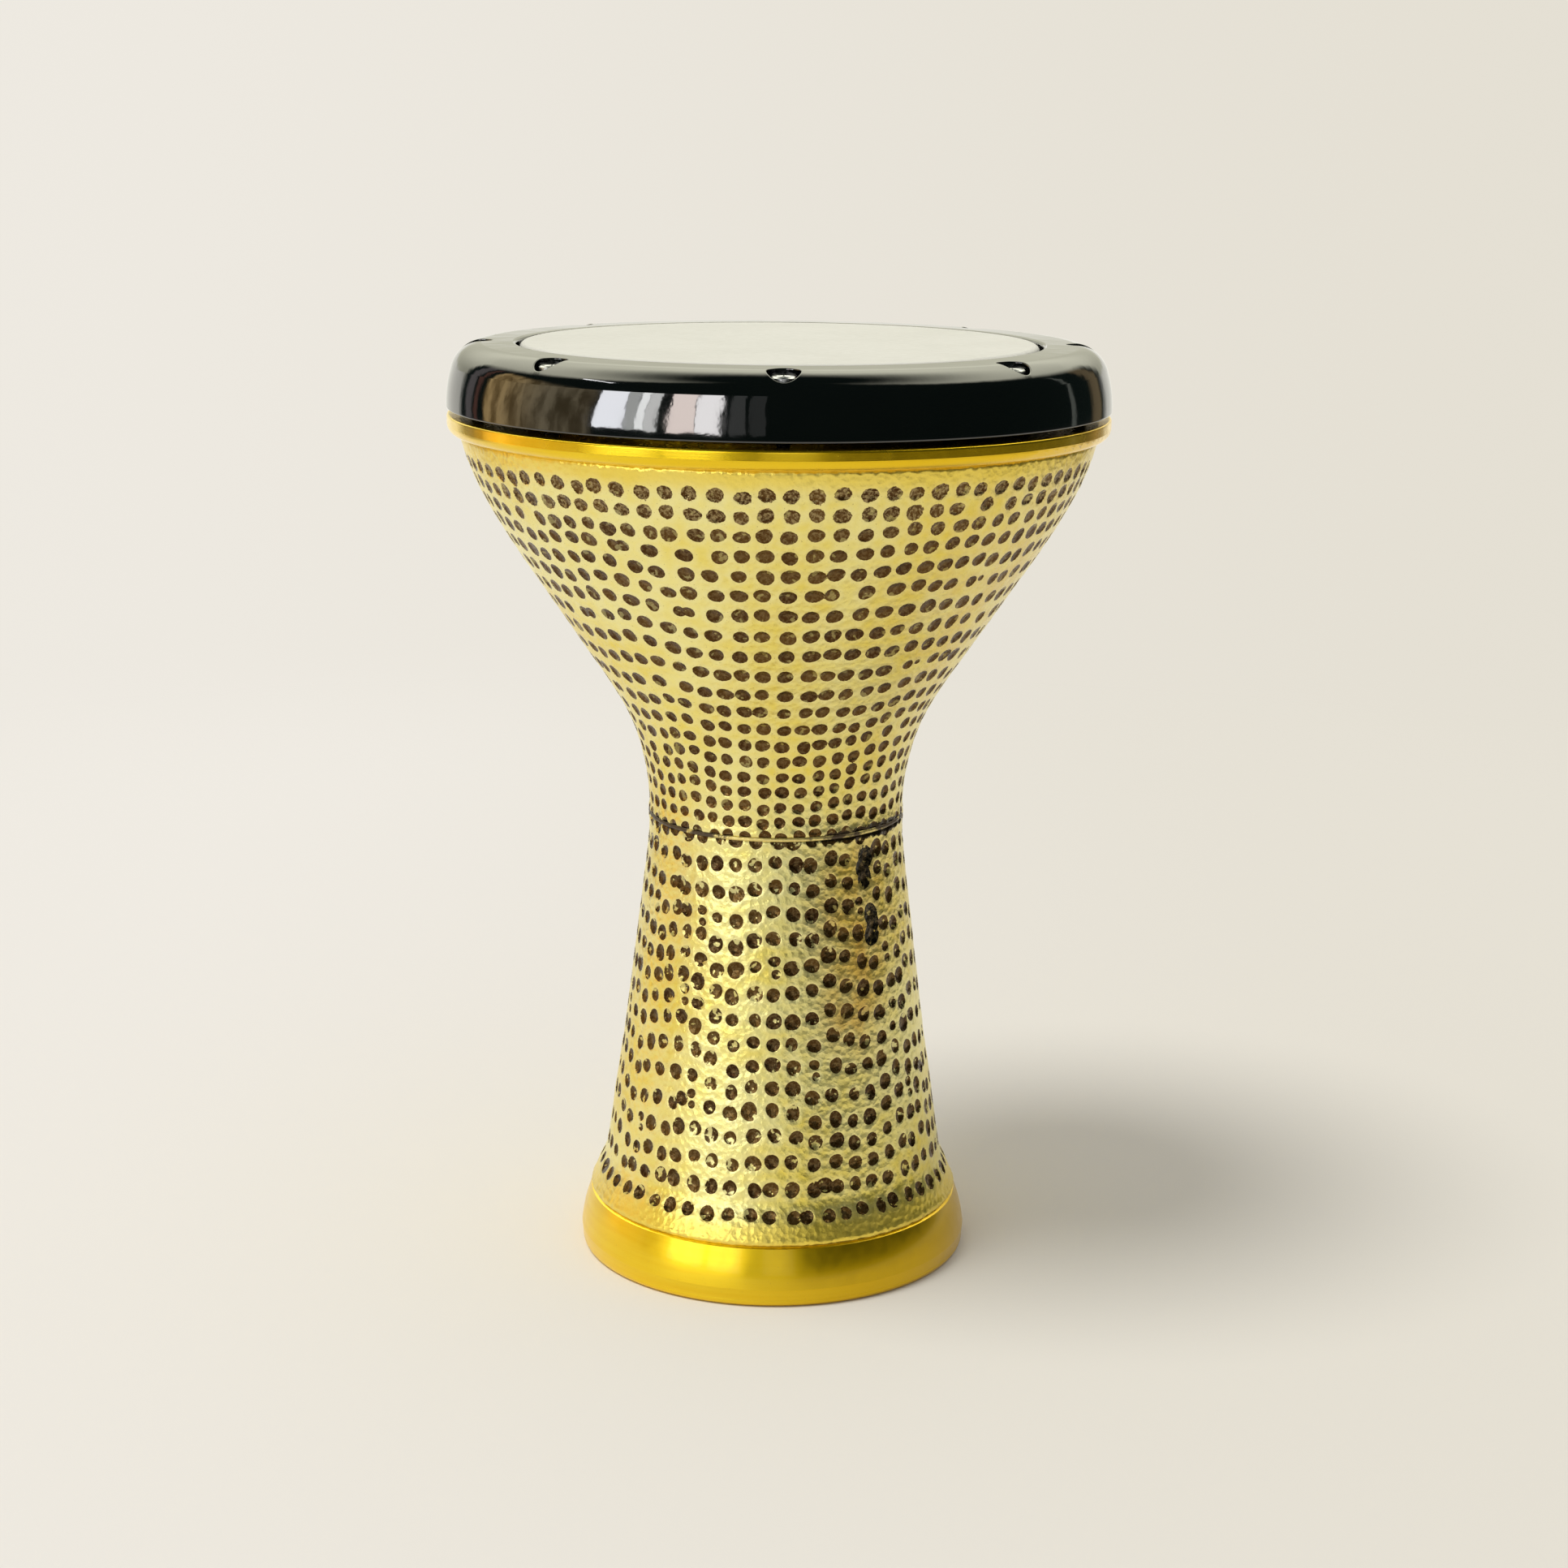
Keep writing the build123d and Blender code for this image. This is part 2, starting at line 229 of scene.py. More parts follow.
def bowl_marks(wall):
    """Rows of marks from under the collar to the waist, in columns that thin out as the bowl narrows."""
    marks = Marks()
    s = top = wall.s_at_height(BOWL_TOP_ROW_Z)
    columns = Columns(BOWL_FRONT, round(TURN * wall.radius(s) / BOWL_COLUMN_PITCH[-1]), 3)
    while s > BOWL_END_GAP:
        r = wall.radius(s)
        spacing = np.interp(r, BOWL_RADII, BOWL_COLUMN_PITCH)
        columns.hold(spacing / r)
        joined = columns.thin_out(round(TURN * r / spacing))
        ease = min(1, (top - s) / (30 * MM), s / (22 * MM))
        for angle in columns.angles:
            a = np.interp(r, BOWL_RADII, BOWL_MARK_SIZE) * chance.gauss(1, 0.04)
            at = angle + chance.gauss(0, 0.45 * MM) / r
            up = s + bowl_drift(angle, s, ease) + chance.gauss(0, 0.4 * MM)
            depth = chance.uniform(0.6, 0.85) * MM
            fate = chance.random()
            if angle in joined and fate < 0.3:
                marks.add(at - 0.62 * a / r, up, 0.85 * a, 0.85 * a, depth)
                marks.add(at + 0.62 * a / r, up, 0.85 * a, 0.85 * a, depth)
            elif angle in joined and fate < 0.55:
                marks.add(at - 0.5 * a / r, up, 0.8 * a, 0.85 * a, depth)
                marks.add(at + 0.95 * a / r, up + 0.3 * a, 0.45 * a, 0.45 * a, 0.5 * depth)
            else:
                marks.add(at, up, a * chance.uniform(0.96, 1.12), a * chance.uniform(0.92, 1.04), depth)
        columns.settle(60)
        s -= np.interp(r, BOWL_RADII, BOWL_ROW_PITCH)
    return marks


def on_blotch(wall, angle, s):
    """Whether a mark here would cut into one of the black blotches."""
    for centre, height in BLACK_BLOTCHES:
        across = ((angle - math.radians(centre) + math.pi) % TURN - math.pi) * NECK_R
        along = s - wall.s_at_height(height)
        if math.hypot(across / BLOTCH_CLEAR_ACROSS, along / BLOTCH_CLEAR_UP) < 1:
            return True
    return False


def blot(wall, marks):
    """Clears the marks from the places of the black blotches, and fills each with three that overlap."""
    marks.rows = [row for row in marks.rows if not on_blotch(wall, row[0], row[1])]
    for angle, height in BLACK_BLOTCHES:
        for step in (-1, 0, 1):
            at = math.radians(angle) + chance.gauss(0, 0.5 * MM) / NECK_R
            up = wall.s_at_height(height + BLOTCH_STEP * step)
            half_width, half_height = chance.uniform(3.7, 4.3) * MM, chance.uniform(4.4, 5.2) * MM
            marks.add(at, up, half_width, half_height, 0.9 * MM, BLACK_TONE)


def stem_marks(wall):
    """Less even columns of marks from the waist to the smooth flare, each shifted on its own."""
    marks = Marks()
    top = wall.length - STEM_TOP_GAP
    bottom = wall.s_at_height(STEM_LOW_ROW_Z)
    rows = round((top - bottom) / STEM_ROW_PITCH)
    columns = Columns(STEM_FRONT, STEM_COLUMNS, 1)
    for row in range(rows + 1):
        s = top - (top - bottom) * row / rows
        r = wall.radius(s)
        columns.fill_in(round(TURN * r / np.interp(r, STEM_RADII, STEM_COLUMN_PITCH)))
        ease = min(1, (row + 1) / 3, (rows - row) / 3)
        for angle, offset in zip(columns.angles, columns.offsets):
            a = STEM_MARK_SIZE * chance.gauss(1, 0.07)
            place = Vector((2.7 * math.sin(angle), 2.7 * math.cos(angle), s / 0.06))
            drift = ease * (7.0 * MM * noise.noise(place) + 1.1 * MM * offset)
            at = angle + chance.gauss(0, 0.6 * MM) / r
            up = s + drift + chance.gauss(0, 0.5 * MM)
            depth = chance.uniform(0.65, 0.95) * MM
            if chance.random() < 0.035 and 0 < row < rows:
                marks.add(at, up + 0.8 * a, 0.75 * a, 0.7 * a, 0.8 * depth)
                marks.add(at + 0.2 * a / r, up - 0.8 * a, 0.6 * a, 0.6 * a, 0.7 * depth)
            else:
                marks.add(at, up, a * chance.uniform(0.9, 1.06), a * chance.uniform(0.92, 1.12), depth)
        columns.settle(12)
    blot(wall, marks)
    return marks


# ---------------------------------------------------------------- meshes

SHELL_AROUND = 288
EDGE_ANGLES = TURN * np.arange(SHELL_AROUND) / SHELL_AROUND
INNER_ROWS = 24

# Rings of points round each mark: the share of its size, and the number of points.
RINGS = ((0.0, 1), (0.36, 6), (0.68, 11), (0.9, 15), (1.0, 15), (1.13, 15))
# How near to a mark, in mark sizes, and to the wall's edges the points between the marks may come.
FILLER_CLEARANCE, EDGE_MARGIN = 1.3, 0.6 * MM
FILLER_SHAKE = 0.3
# The raised lip round a mark. Its width is in mark sizes.
LIP_HEIGHT, LIP_WIDTH = 0.1 * MM, 0.45
WAVE_HEIGHT, END_EASE = 0.14 * MM, 2 * MM

# Amber patches on the walls, partly tarnish and partly painted shade on the right side: strength, degrees
# round from the front, height, half width in degrees, half height.
TARNISH_AND_SHADE = (
    (1.0, 38, 160 * MM, 19, 34 * MM),
    (0.6, 30, 118 * MM, 12, 16 * MM),
    (0.45, 58, 300 * MM, 32, 75 * MM),
    (0.1, -44, 165 * MM, 13, 30 * MM),
    (0.5, 150, 150 * MM, 30, 40 * MM),
)
GRIMY_SPOTS = ((0.55, 42, 178 * MM, 5, 9 * MM), (0.55, 41, 155 * MM, 4, 7 * MM))


def new_piece(name, points, faces, material, body):
    """A smooth-shaded mesh that rides a body of the frame."""
    mesh = bpy.data.meshes.new(name)
    mesh.from_pydata([tuple(p) for p in points], [], [tuple(f) for f in faces])
    mesh.polygons.foreach_set("use_smooth", [True] * len(mesh.polygons))
    mesh.materials.append(material)
    piece = bpy.data.objects.new(name, mesh)
    bpy.context.scene.collection.objects.link(piece)
    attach(piece, body)
    return piece


def point_attribute(piece, name, values):
    layer = piece.data.attributes.new(name, "FLOAT", "POINT")
    layer.data.foreach_set("value", np.asarray(values, np.float32))


def wobble(turn, table):
    """How far each mark's edge stands out from a true ellipse in the direction turn, as a factor."""
    return 1 + 0.045 * np.cos(2 * turn - table[:, 6]) + 0.03 * np.cos(3 * turn - table[:, 7])


def mark_rings(wall, table):
    """Points in staggered rings round each mark, so that its edge is a clean line in the mesh."""
    angle, s, half_width, half_height = table[:, 0], table[:, 1], table[:, 2], table[:, 3]
    found = []
    for step, (share, count) in enumerate(RINGS):
        for k in range(count):
            turn = TURN * (k + 0.5 * (step % 2)) / count
            out = share * wobble(turn, table)
            a = angle + out * half_width * math.cos(turn) / wall.radius(s)
            found.append(np.stack([a, s + out * half_height * math.sin(turn)], 1))
    return np.concatenate(found)


def nearest_mark(wall, points, table):
    """For each point, its distance from the nearest mark's centre in mark sizes, and that mark's index."""
    chunk = 2000
    reach = np.empty(len(points))
    owner = np.empty(len(points), int)
    scale_a = (wall.radius(table[:, 1]) / table[:, 2]).astype(np.float32)
    scale_s = (1 / table[:, 3]).astype(np.float32)
    centre_a, centre_s = table[:, 0].astype(np.float32), table[:, 1].astype(np.float32)
    for start in range(0, len(points), chunk):
        part = points[start : start + chunk].astype(np.float32)
        da = ((part[:, :1] - centre_a + math.pi) % TURN - math.pi) * scale_a
        ds = (part[:, 1:] - centre_s) * scale_s
        best = (da**2 + ds**2).argmin(1)
        at = np.arange(len(part)), best
        turn = np.arctan2(ds[at], da[at])
        owner[start : start + chunk] = best
        reach[start : start + chunk] = np.hypot(da[at], ds[at]) / wobble(turn, table[best])
    return reach, owner


def filler(wall, spacing):
    """Loosely even points over the whole wall."""
    found = []
    rows = round(wall.length / spacing)
    for row in range(1, rows):
        s = wall.length * row / rows
        count = round(TURN * float(wall.radius(s)) / spacing)
        for k in range(count):
            across, along = (chance.uniform(-FILLER_SHAKE, FILLER_SHAKE) for _ in range(2))
            found.append((TURN * (k + 0.5 * (row % 2) + across) / count, s + spacing * along))
    return np.array(found)


def unrolled_triangles(wall, points):
    """Triangles over the wall's sheet, joined up across the seam at angle 0."""
    margin, tolerance = 0.12, 1e-7
    own = np.arange(len(points))
    left, right = own[points[:, 0] > TURN - margin], own[points[:, 0] < margin]
    angle = np.concatenate([points[:, 0], points[left, 0] - TURN, points[right, 0] + TURN])
    index = np.concatenate([own, left, right])
    w = np.interp(points[index, 1], wall.s, wall.w)
    flat = [Vector(p) for p in np.stack([angle, w], 1)]
    result = delaunay_2d_cdt(flat, [], [], 0, tolerance)
    corners = np.array(result[2])
    origin = np.array([sources[0] if sources else -1 for sources in result[3]])
    middle = angle[origin[corners]].mean(1)
    inside = (middle >= 0) & (middle < TURN)
    return index[origin[corners[inside]]]


def numbered_rows(count, length, first=0):
    """The numbers of points that are laid out in rows, one row after another."""
    return [list(range(first + length * k, first + length * (k + 1))) for k in range(count)]


def ring_strip(lower, upper):
    """Faces between two rings of points, the same number in each, that run the same way round."""
    count = len(lower)
    return [(lower[k], lower[(k + 1) % count], upper[(k + 1) % count], upper[k]) for k in range(count)]


def bump_at(angle, z, strength, centre, height, half_width, half_height):
    """A soft patch on a wall, at full strength in its middle. Its centre and half width are in degrees."""
    across = np.abs((angle - math.radians(centre) + math.pi) % TURN - math.pi) / math.radians(half_width)
    return strength * np.exp(-(across**2) - ((z - height) / half_height) ** 2)


def grime(angle, z):
    """Dirt left along the waist's seam, in patches, and in two spots under it."""
    points = [Vector((3 * math.sin(a), 3 * math.cos(a), 40 * h)) for a, h in zip(angle, z)]
    patchy = np.array([noise.noise(p) for p in points])
    front = bump_at(angle, z, 0.5, -8, NECK_Z, 20, 90 * MM)
    right = bump_at(angle, z, 1.0, 45, NECK_Z, 28, 90 * MM)
    thickness = (1.7 + 1.5 * right) * MM
    seam = np.exp(-(((z - NECK_Z) / thickness) ** 2)) * (0.68 + 0.9 * patchy - front + 0.6 * right)
    spots = sum(bump_at(angle, z, *spot) for spot in GRIMY_SPOTS)
    return np.clip(seam + spots, 0, 1)


def tarnish_and_shade(angle, z):
    """Amber patches, most of them on the right of the stem's upper half: partly tarnish, and partly painted
    shade where the right side mirrors the shadowed floor.
    """
    return np.clip(sum(bump_at(angle, z, *patch) for patch in TARNISH_AND_SHADE), 0, 1)


def outer_sheet(wall, table, spacing):
    """Points over the whole wall: its two edges, the rings round the marks, and filler between them."""
    rings = mark_rings(wall, table)
    inside = np.concatenate([rings, filler(wall, spacing)])
    inside[:, 0] %= TURN
    reach, _ = nearest_mark(wall, inside, table)
    clear = (np.arange(len(inside)) < len(rings)) | (reach > FILLER_CLEARANCE)
    in_wall = (inside[:, 1] > EDGE_MARGIN) & (inside[:, 1] < wall.length - EDGE_MARGIN)
    low_edge = np.stack([EDGE_ANGLES, np.zeros(SHELL_AROUND)], 1)
    high_edge = np.stack([EDGE_ANGLES, np.full(SHELL_AROUND, wall.length)], 1)
    return np.concatenate([low_edge, high_edge, inside[clear & in_wall]])


def hammered_points(wall, sheet, reach, depth):
    """The sheet's points on the wall: sunk inside each mark, raised round it, and wavy all over."""
    cup = -depth * np.clip(1 - reach**2, 0, 1)
    lip = LIP_HEIGHT * np.clip(1 - (reach - 1) / LIP_WIDTH, 0, 1) * (reach >= 1)
    flat = wall.points(sheet[:, 0], sheet[:, 1], 0)
    waves = np.array([noise.noise(Vector(p) * 110) + 0.7 * noise.noise(Vector(p) * 300) for p in flat])
    ease = np.clip(np.minimum(sheet[:, 1], wall.length - sheet[:, 1]) / END_EASE, 0, 1)
    return wall.points(sheet[:, 0], sheet[:, 1], (cup + lip + WAVE_HEIGHT * waves) * ease)


def inner_points(node):
    """Points over the node's inner wall, in rings from the bottom up."""
    outline = zip(*smoothed(*facing_outline(node, -1), INNER_ROWS))
    return [(r * math.sin(a), -r * math.cos(a), z) for z, r in outline for a in EDGE_ANGLES]


def hammered_shell(node, name, table, spacing, material):
    """The node's shell with hammer marks in its outer wall. The rest of it stays as it is."""
    wall = Wall(node)
    sheet = outer_sheet(wall, table, spacing)
    reach, owner = nearest_mark(wall, sheet, table)
    depth, tone = table[owner, 4], table[owner, 5]
    outer, inner = hammered_points(wall, sheet, reach, depth), inner_points(node)
    low, high = numbered_rows(2, SHELL_AROUND)
    rows = numbered_rows(INNER_ROWS, SHELL_AROUND, len(outer))
    faces = list(unrolled_triangles(wall, sheet)) + ring_strip(rows[0], low) + ring_strip(high, rows[-1])
    for lower, upper in zip(rows, rows[1:]):
        faces += ring_strip(upper, lower)
    piece = new_piece(name, np.concatenate([outer, inner]), faces, material, "drum")
    height = np.interp(sheet[:, 1], wall.s, wall.z)
    plain = np.zeros(len(inner))
    point_attribute(piece, "reach", np.concatenate([np.minimum(reach, 3), plain + 3]))
    point_attribute(piece, "tone", np.concatenate([tone, plain]))
    point_attribute(piece, "grime", np.concatenate([grime(sheet[:, 0], height), plain]))
    point_attribute(piece, "tarnish_and_shade", np.concatenate([tarnish_and_shade(sheet[:, 0], height), plain]))
    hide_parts(node)


# ---------------------------------------------------------------- materials


class Graph:
    """Short ways to add and join a node tree's nodes."""

    def __init__(self, tree):
        self.nodes, self.links = tree.nodes, tree.links

    def add(self, kind, settings=None, **values):
        node = self.nodes.new(kind)
        for key, value in (settings or {}).items():
            setattr(node, key, value)
        self.feed_all(node, **values)
        return node

    def feed(self, socket, value):
        if isinstance(value, bpy.types.NodeSocket):
            self.links.new(value, socket)
        else:
            socket.default_value = value

    def feed_all(self, node, **values):
        """Feeds the inputs named by the keys, with an underscore for each space."""
        for key, value in values.items():
            self.feed(node.inputs[key.replace("_", " ")], value)

    def place(self):
        return self.add("ShaderNodeTexCoord").outputs["Object"]

    def place_along(self, axis):
        return self.add("ShaderNodeSeparateXYZ", None, Vector=self.place()).outputs[axis]

    def stretched(self, vector, *scale):
        return self.add("ShaderNodeMapping", None, Vector=vector, Scale=scale).outputs["Vector"]

    def attribute(self, name):
        return self.add("ShaderNodeAttribute", {"attribute_name": name}).outputs["Fac"]

    def noise(self, scale, detail=2.0, roughness=0.5, vector=None):
        node = self.add("ShaderNodeTexNoise", None, Scale=scale, Detail=detail, Roughness=roughness)
        self.feed(node.inputs["Vector"], vector or self.place())
        return node.outputs["Fac"]

    def wander(self, scale, low, high, detail=3.0, roughness=0.5):
        """Noise that wanders between two numbers."""
        return self.ramp(self.noise(scale, detail, roughness), 0.3, 0.7, low, high, False)

    def cells(self, scale):
        node = self.add("ShaderNodeTexVoronoi", None, Scale=scale, Vector=self.place())
        return node.outputs["Distance"]

    def ramp(self, value, low, high, start=0.0, end=1.0, smooth=True):
        kind = "SMOOTHSTEP" if smooth else "LINEAR"
        node = self.add("ShaderNodeMapRange", {"interpolation_type": kind}, Value=value)
        self.feed_all(node, From_Min=low, From_Max=high, To_Min=start, To_Max=end)
        return node.outputs["Result"]

    def math(self, operation, a, b=0.0):
        node = self.add("ShaderNodeMath", {"operation": operation})
        self.feed(node.inputs[0], a)
        self.feed(node.inputs[1], b)
        return node.outputs["Value"]

    def mix(self, share, a, b, blend="MIX"):
        node = self.add("ShaderNodeMix", {"data_type": "RGBA", "blend_type": blend})
        self.feed_all(node, Factor=share, A=a, B=b)
        return node.outputs["Result"]

    def bump(self, height, distance, strength=1.0, normal=None):
        node = self.add("ShaderNodeBump", None, Height=height, Distance=distance, Strength=strength)
        if normal:
            self.feed(node.inputs["Normal"], normal)
        return node.outputs["Normal"]


def node_material(name):
    """A new material, its principled shader, and a graph to build the shader's inputs with."""
    material = bpy.data.materials.new(name)
    material.use_nodes = True
    g = Graph(material.node_tree)
    g.nodes.clear()
    shader = g.add("ShaderNodeBsdfPrincipled")
    g.add("ShaderNodeOutputMaterial", None, Surface=shader.outputs["BSDF"])
    return material, shader, g


def colour(red, green, blue):
    return (red, green, blue, 1.0)


def cloudy_gold(g, pale, deep, reach, height):
    """Gold: paler beside the marks as a painted highlight, amber where tarnished and as painted shade on
    the right side, pitted, and richer in its smooth end bands.
    """
    painted_highlight, rich = colour(0.97, 0.92, 0.58), colour(0.96, 0.73, 0.10)
    amber_tarnish_and_shade, pitted = colour(0.72, 0.42, 0.045), colour(0.30, 0.21, 0.08)
    gold = g.mix(g.ramp(g.noise(15.0, 4.0, 0.6), 0.38, 0.66), pale, deep)
    # Painted highlight: a pale halo on the gold round each mark.
    gold = g.mix(g.math("MULTIPLY", g.ramp(reach, 1.9, 1.05), 0.25), gold, painted_highlight)
    patches = g.ramp(g.noise(70.0, 4.0, 0.6), 0.35, 0.65, 0.35, 1.0)
    # Amber in the patches: partly tarnish, partly painted shade on the right side.
    gold = g.mix(g.math("MULTIPLY", g.attribute("tarnish_and_shade"), patches), gold, amber_tarnish_and_shade)
    pits = g.ramp(g.noise(1100.0, 2.0, 0.6), 0.66, 0.74)
    gold = g.mix(g.math("MULTIPLY", pits, 0.5), gold, pitted)
    under_collar, over_foot = g.ramp(height, 349 * MM, 359.5 * MM), g.ramp(height, 41 * MM, 29 * MM)
    smooth_band = g.math("MAXIMUM", under_collar, over_foot)
    return g.mix(g.math("MULTIPLY", smooth_band, 0.8), gold, rich)


def patina_brown(g, dark, light, reach, under_collar):
    """Brown that varies from mark to mark: black in the blotches, speckled, and lighter in the middle."""
    black, speckled = colour(0.008, 0.007, 0.006), colour(0.44, 0.33, 0.15)
    lighter_middle = colour(0.26, 0.17, 0.07)
    tone = g.attribute("tone")
    brown = g.mix(tone, dark, light)
    brown = g.mix(g.ramp(tone, 0.0, BLACK_TONE), brown, black)
    speckle = g.ramp(g.noise(760.0, 4.0, 0.7), 0.45, 0.62)
    speckle = g.math("MULTIPLY", speckle, g.ramp(under_collar, 0.0, 1.0, 0.22, 0.85))
    brown = g.mix(speckle, brown, speckled)
    return g.mix(g.math("MULTIPLY", g.ramp(reach, 0.5, 0.1), 0.3), brown, lighter_middle)


def hammered_gold(name, pale, deep, brown_dark, brown_light, rubbed_and_glint_share):
    """Lacquered gold with brown patina left in the hammer marks, some of it rubbed off in chips of bare
    gold that also stand in as painted glints in the marks.
    """
    material, shader, g = node_material(name)
    reach, height = g.attribute("reach"), g.place_along("Z")
    under_collar = g.ramp(height, 325 * MM, 350 * MM)
    ragged = g.math("MULTIPLY", g.wander(620.0, -0.09, 0.12, 4.0, 0.65), under_collar)
    edge = g.math("ADD", g.math("ADD", reach, ragged), g.wander(1400.0, -0.02, 0.02))
    # Chips of bare gold in the patina: partly rubbed wear, partly painted glints where the cups would catch
    # the windows.
    rubbed = g.math("MULTIPLY", g.ramp(g.noise(270.0, 2.0), 0.60, 0.645), rubbed_and_glint_share)
    patina = g.math("MULTIPLY", g.ramp(edge, 1.01, 0.97), g.math("SUBTRACT", 1.0, rubbed))
    soot = g.math("ADD", g.attribute("grime"), g.wander(520.0, -0.28, 0.28, 4.0, 0.6))
    soot = g.ramp(soot, 0.42, 0.72)
    brown = patina_brown(g, brown_dark, brown_light, reach, under_collar)
    surface = g.mix(patina, cloudy_gold(g, pale, deep, reach, height), brown)
    dark = g.math("MAXIMUM", patina, soot)
    planish = g.bump(g.cells(360.0), 0.4 * MM, 0.8)
    dents = g.bump(g.noise(420.0, 3.0, 0.6), 0.35 * MM, 0.7, planish)
    g.feed_all(
        shader,
        Base_Color=g.mix(soot, surface, colour(0.035, 0.022, 0.010)),
        Roughness=g.math("SUBTRACT", g.wander(420.0, 0.3, 0.44), g.math("MULTIPLY", dark, 0.16)),
        Metallic=g.ramp(dark, 0.0, 1.0, 0.88, 0.75),
        Specular_IOR_Level=g.ramp(dark, 0.0, 1.0, 0.5, 0.15),
        Coat_Weight=g.ramp(dark, 0.0, 1.0, 0.25, 0.04),
        Coat_Roughness=0.12,
        Normal=g.bump(g.noise(1300.0, 3.0), 0.05 * MM, 0.9, dents),
    )
    return material


def smooth_gold(name, pale, deep, shaded_right, low, high):
    """Spun gold with faint turning lines, under cloudy lacquer, with painted shade that deepens its colour
    towards the right.
    """
    material, shader, g = node_material(name)
    turned = g.stretched(g.place(), 14.0, 14.0, 420.0)
    bands = g.ramp(g.noise(1.0, 3.0, 0.6, turned), 0.35, 0.7)
    cloud = g.ramp(g.noise(16.0, 3.0), 0.35, 0.7)
    gold = g.mix(g.math("MULTIPLY", g.math("ADD", bands, cloud), 0.5), pale, deep)
    # Painted shade: the gold deepens towards the right, the side turned from the light.
    gold = g.mix(g.ramp(g.place_along("X"), -60 * MM, 50 * MM, 0.0, 0.85), gold, shaded_right)
    specks = g.math("MULTIPLY", g.ramp(g.noise(1500.0, 2.0), 0.68, 0.76), 0.4)
    lines = g.noise(1.0, 2.0, 0.6, g.stretched(g.place(), 25.0, 25.0, 2600.0))
    g.feed_all(
        shader,
        Base_Color=g.mix(specks, gold, colour(0.45, 0.27, 0.03)),
        Roughness=g.wander(200.0, low, high),
        Metallic=0.94,
        Coat_Weight=0.3,
        Coat_Roughness=0.1,
        Normal=g.bump(lines, 0.015 * MM, 0.6),
    )
    return material


def gloss_black(name):
    """Thick black lacquer with a slightly wavy surface and a little dust."""
    material, shader, g = node_material(name)
    dust = g.ramp(g.noise(2200.0, 4.0, 0.6), 0.62, 0.8)
    black = g.mix(g.noise(40.0, 3.0), colour(0.0010, 0.0016, 0.0014), colour(0.0018, 0.0024, 0.0020))
    wave = g.bump(g.noise(55.0, 2.0), 0.4 * MM, 0.3)
    g.feed_all(
        shader,
        Base_Color=g.mix(dust, black, colour(0.012, 0.012, 0.011)),
        Roughness=g.ramp(g.noise(90.0, 3.0), 0.3, 0.75, 0.035, 0.075, False),
        IOR=1.6,
        Specular_IOR_Level=0.8,
        Normal=g.bump(g.noise(420.0, 2.0), 0.04 * MM, 0.3, wave),
    )
    return material


def film_white(name):
    """Coated plastic film, a little cloudy, with a fine tooth."""
    material, shader, g = node_material(name)
    haze = g.ramp(g.noise(26.0, 4.0, 0.6), 0.3, 0.75)
    g.feed_all(
        shader,
        Base_Color=g.mix(haze, colour(0.65, 0.635, 0.57), colour(0.61, 0.596, 0.53)),
        Specular_IOR_Level=0.2,
        Roughness=g.wander(300.0, 0.34, 0.46),
        Normal=g.bump(g.noise(1600.0, 2.0), 0.02 * MM, 0.6),
    )
    return material


def machined_metal(name, light, dark, low, high, shank_shade=None):
    """Bare metal with a mottled surface. Its painted shade colours, if it has any, darken it below the
    screws' seat, where the shank stands in the shadowed gap under the rim.
    """
    material, shader, g = node_material(name)
    mottle = g.ramp(g.noise(480.0, 4.0), 0.35, 0.7)
    metal = g.mix(mottle, light, dark)
    if shank_shade:
        # Painted shade on the shank below the seat, in the gap between rim and collar.
        above_seat = g.ramp(g.place_along("Z"), SCREW_SEAT_Z - 2 * MM, SCREW_SEAT_Z)
        metal = g.mix(above_seat, g.mix(mottle, *shank_shade), metal)
    g.feed_all(
        shader,
        Base_Color=metal,
        Roughness=g.wander(900.0, low, high),
        Metallic=1.0,
        Normal=g.bump(g.noise(2400.0, 2.0), 0.02 * MM, 0.6),
    )
    return material


def seam_filler(name):
    """Dull brown filler in the waist's seam, with gold where it has been rubbed, most at the front."""
    material, shader, g = node_material(name)
    from_front = g.math("ABSOLUTE", g.math("ADD", g.place_along("X"), 4 * MM))
    bright = g.ramp(from_front, 26 * MM, 12 * MM, 0.0, 0.16)
    rubbed = g.ramp(g.math("ADD", g.noise(95.0, 4.0, 0.65), bright), 0.48, 0.6)
    brown = g.mix(g.noise(600.0, 3.0), colour(0.04, 0.025, 0.012), colour(0.12, 0.075, 0.03))
    g.feed_all(
        shader,
        Base_Color=g.mix(rubbed, brown, colour(0.86, 0.70, 0.26)),
        Roughness=g.wander(500.0, 0.3, 0.5),
        Metallic=g.ramp(rubbed, 0.0, 1.0, 0.2, 0.85),
        Normal=g.bump(g.noise(420.0, 4.0), 0.4 * MM, 0.8),
    )
    return material


def cast_resin(name):
    """Cloudy cast resin."""
    material, shader, g = node_material(name)
    g.feed_all(
        shader,
        Base_Color=g.mix(g.noise(300.0, 4.0), colour(0.74, 0.66, 0.48), colour(0.62, 0.52, 0.33)),
        Roughness=g.wander(700.0, 0.4, 0.6),
        Normal=g.bump(g.noise(900.0, 3.0), 0.08 * MM, 0.7),
    )
    return material


# ---------------------------------------------------------------- screws

SCREW_AROUND = 48
HEAD_R, HEAD_H = 5 * MM, 6 * MM
HEAD_CHAMFER, KNURL_GAP, KNURL_DEPTH = 0.3 * MM, 1.2 * MM, 0.17 * MM
